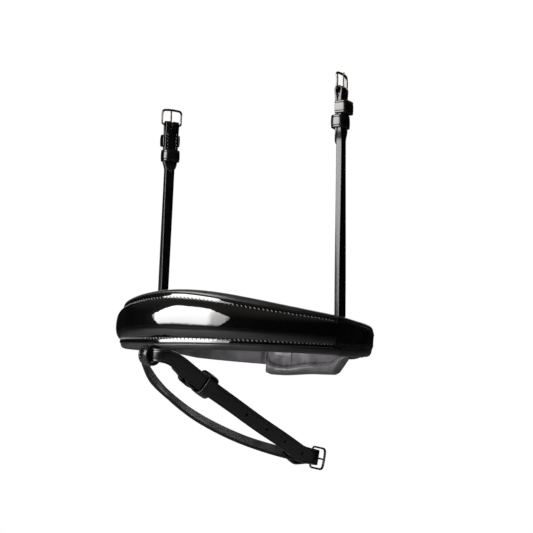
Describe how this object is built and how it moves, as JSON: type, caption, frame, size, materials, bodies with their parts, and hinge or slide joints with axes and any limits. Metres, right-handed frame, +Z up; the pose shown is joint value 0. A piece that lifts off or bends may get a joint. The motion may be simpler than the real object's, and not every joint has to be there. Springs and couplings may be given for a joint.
{
  "type": "bridle noseband with flash strap",
  "caption": "Padded black patent-leather bridle noseband ring hung from cheek straps with buckles, with a buckled flash strap looped under the nose and a sliding chin pad.",
  "frame": {"origin": "centre of the box round the whole part, above the middle of the band, between the cheek straps", "axes": "+Z up along the cheek straps, -Y towards the horse's nose, +X towards the horse's near (left) side"},
  "size_m": [0.2228, 0.2267, 0.3333],
  "materials": {
    "patent_leather": "high gloss lacquer",
    "bridle_leather": "smooth, semi-gloss",
    "lining_leather": "soft, fine grain, satin",
    "stuffing": "matt felt",
    "nickel": "polished nickel plate"
  },
  "bodies": {
    "noseband": {"nose_panel": "patent_leather", "nose_filler": "stuffing", "nose_backing": "bridle_leather", "nose_lining": "lining_leather", "near_rear_strap": "bridle_leather", "near_rear_lining": "lining_leather", "off_rear_strap": "bridle_leather", "off_rear_lining": "lining_leather", "near_cheek_foot": "bridle_leather", "off_cheek_foot": "bridle_leather", "rear_buckle_frame": "nickel", "rear_buckle_tongue": "nickel", "rear_fixed_keeper": "bridle_leather", "flash_loop": "bridle_leather"},
    "chin_pad": {"chin_pad": "lining_leather", "chin_pad_near_loop": "bridle_leather", "chin_pad_off_loop": "bridle_leather"},
    "rear_runner": {"rear_runner_keeper": "bridle_leather"},
    "near_cheek": {"near_cheek_strap": "bridle_leather", "near_cheek_fixed_keeper": "bridle_leather"},
    "near_cheek_buckle": {"near_cheek_buckle_frame": "nickel"},
    "near_cheek_tongue": {"near_cheek_buckle_tongue": "nickel"},
    "near_cheek_runner": {"near_cheek_runner_keeper": "bridle_leather"},
    "off_cheek": {"off_cheek_strap": "bridle_leather", "off_cheek_fixed_keeper": "bridle_leather"},
    "off_cheek_buckle": {"off_cheek_buckle_frame": "nickel"},
    "off_cheek_tongue": {"off_cheek_buckle_tongue": "nickel"},
    "off_cheek_runner": {"off_cheek_runner_keeper": "bridle_leather"},
    "flash": {"flash_long_strap": "bridle_leather", "flash_chin_strap": "bridle_leather", "flash_chin_buckle_frame": "nickel", "flash_chin_buckle_tongue": "nickel"},
    "flash_runner": {"flash_runner_keeper": "bridle_leather"},
    "flash_buckle": {"flash_front_buckle_frame": "nickel"},
    "flash_tongue": {"flash_front_buckle_tongue": "nickel"}
  },
  "joints": [
    {"name": "chin_pad_slide", "type": "hinge", "parent": "noseband", "child": "chin_pad", "pos_m": [-0.0016, 0.0057, -0.0447], "axis": [0, 0.0872, 0.9962], "range_deg": [-6, 0], "stiffness_Nm_per_rad": 0.3},
    {"name": "rear_runner_slide", "type": "hinge", "parent": "noseband", "child": "rear_runner", "pos_m": [-0.0016, 0.0057, -0.0447], "axis": [0, 0.0872, 0.9962], "range_deg": [-2, 6], "stiffness_Nm_per_rad": 0.3},
    {"name": "near_cheek_fold", "type": "hinge", "parent": "noseband", "child": "near_cheek", "pos_m": [0.10388, 0.00754, -0.0302], "axis": [0, 1, 0], "range_deg": [-25, 60], "stiffness_Nm_per_rad": 0.6},
    {"name": "near_cheek_buckle_swing", "type": "hinge", "parent": "near_cheek", "child": "near_cheek_buckle", "pos_m": [0.10103, 0.00754, 0.15178], "axis": [-0.2923, 0.9563, -0.0046], "range_deg": [-40, 40], "stiffness_Nm_per_rad": 0.01},
    {"name": "near_cheek_tongue_lift", "type": "hinge", "parent": "near_cheek_buckle", "child": "near_cheek_tongue", "pos_m": [0.10103, 0.00754, 0.15178], "axis": [-0.2923, 0.9563, -0.0046], "range_deg": [0, 70], "stiffness_Nm_per_rad": 0.004},
    {"name": "near_cheek_runner_slide", "type": "slide", "parent": "near_cheek", "child": "near_cheek_runner", "axis": [-0.0157, 0, 0.9999], "range_m": [-0.05, 0.0008], "stiffness_N_per_m": 8},
    {"name": "off_cheek_fold", "type": "hinge", "parent": "noseband", "child": "off_cheek", "pos_m": [-0.10696, 0.00018, -0.0302], "axis": [0, -1, 0], "range_deg": [-25, 60], "stiffness_Nm_per_rad": 0.6},
    {"name": "off_cheek_buckle_swing", "type": "hinge", "parent": "off_cheek", "child": "off_cheek_buckle", "pos_m": [-0.10083, 0.00018, 0.14519], "axis": [-0.2922, -0.9563, 0.0102], "range_deg": [-40, 40], "stiffness_Nm_per_rad": 0.01},
    {"name": "off_cheek_tongue_lift", "type": "hinge", "parent": "off_cheek_buckle", "child": "off_cheek_tongue", "pos_m": [-0.10083, 0.00018, 0.14519], "axis": [-0.2922, -0.9563, 0.0102], "range_deg": [0, 70], "stiffness_Nm_per_rad": 0.004},
    {"name": "off_cheek_runner_slide", "type": "slide", "parent": "off_cheek", "child": "off_cheek_runner", "axis": [0.0349, 0, 0.9994], "range_m": [-0.047, 0.0034], "stiffness_N_per_m": 8},
    {"name": "flash_swing", "type": "hinge", "parent": "noseband", "child": "flash", "pos_m": [0.0034, -0.1048, -0.0662], "axis": [1, 0, 0], "range_deg": [-60, 1], "stiffness_Nm_per_rad": 1.5},
    {"name": "flash_runner_slide", "type": "slide", "parent": "flash", "child": "flash_runner", "axis": [-0.0764, 0.8882, -0.453], "range_m": [0, 0.01], "stiffness_N_per_m": 8},
    {"name": "flash_buckle_swing", "type": "hinge", "parent": "flash", "child": "flash_buckle", "pos_m": [0.0064, -0.0729, -0.0795], "axis": [-0.573, 0.5669, 0.5918], "range_deg": [-30, 1], "stiffness_Nm_per_rad": 0.01},
    {"name": "flash_tongue_lift", "type": "hinge", "parent": "flash_buckle", "child": "flash_tongue", "pos_m": [0.0064, -0.0729, -0.0795], "axis": [-0.573, 0.5669, 0.5918], "range_deg": [0, 8], "stiffness_Nm_per_rad": 0.004}
  ]
}
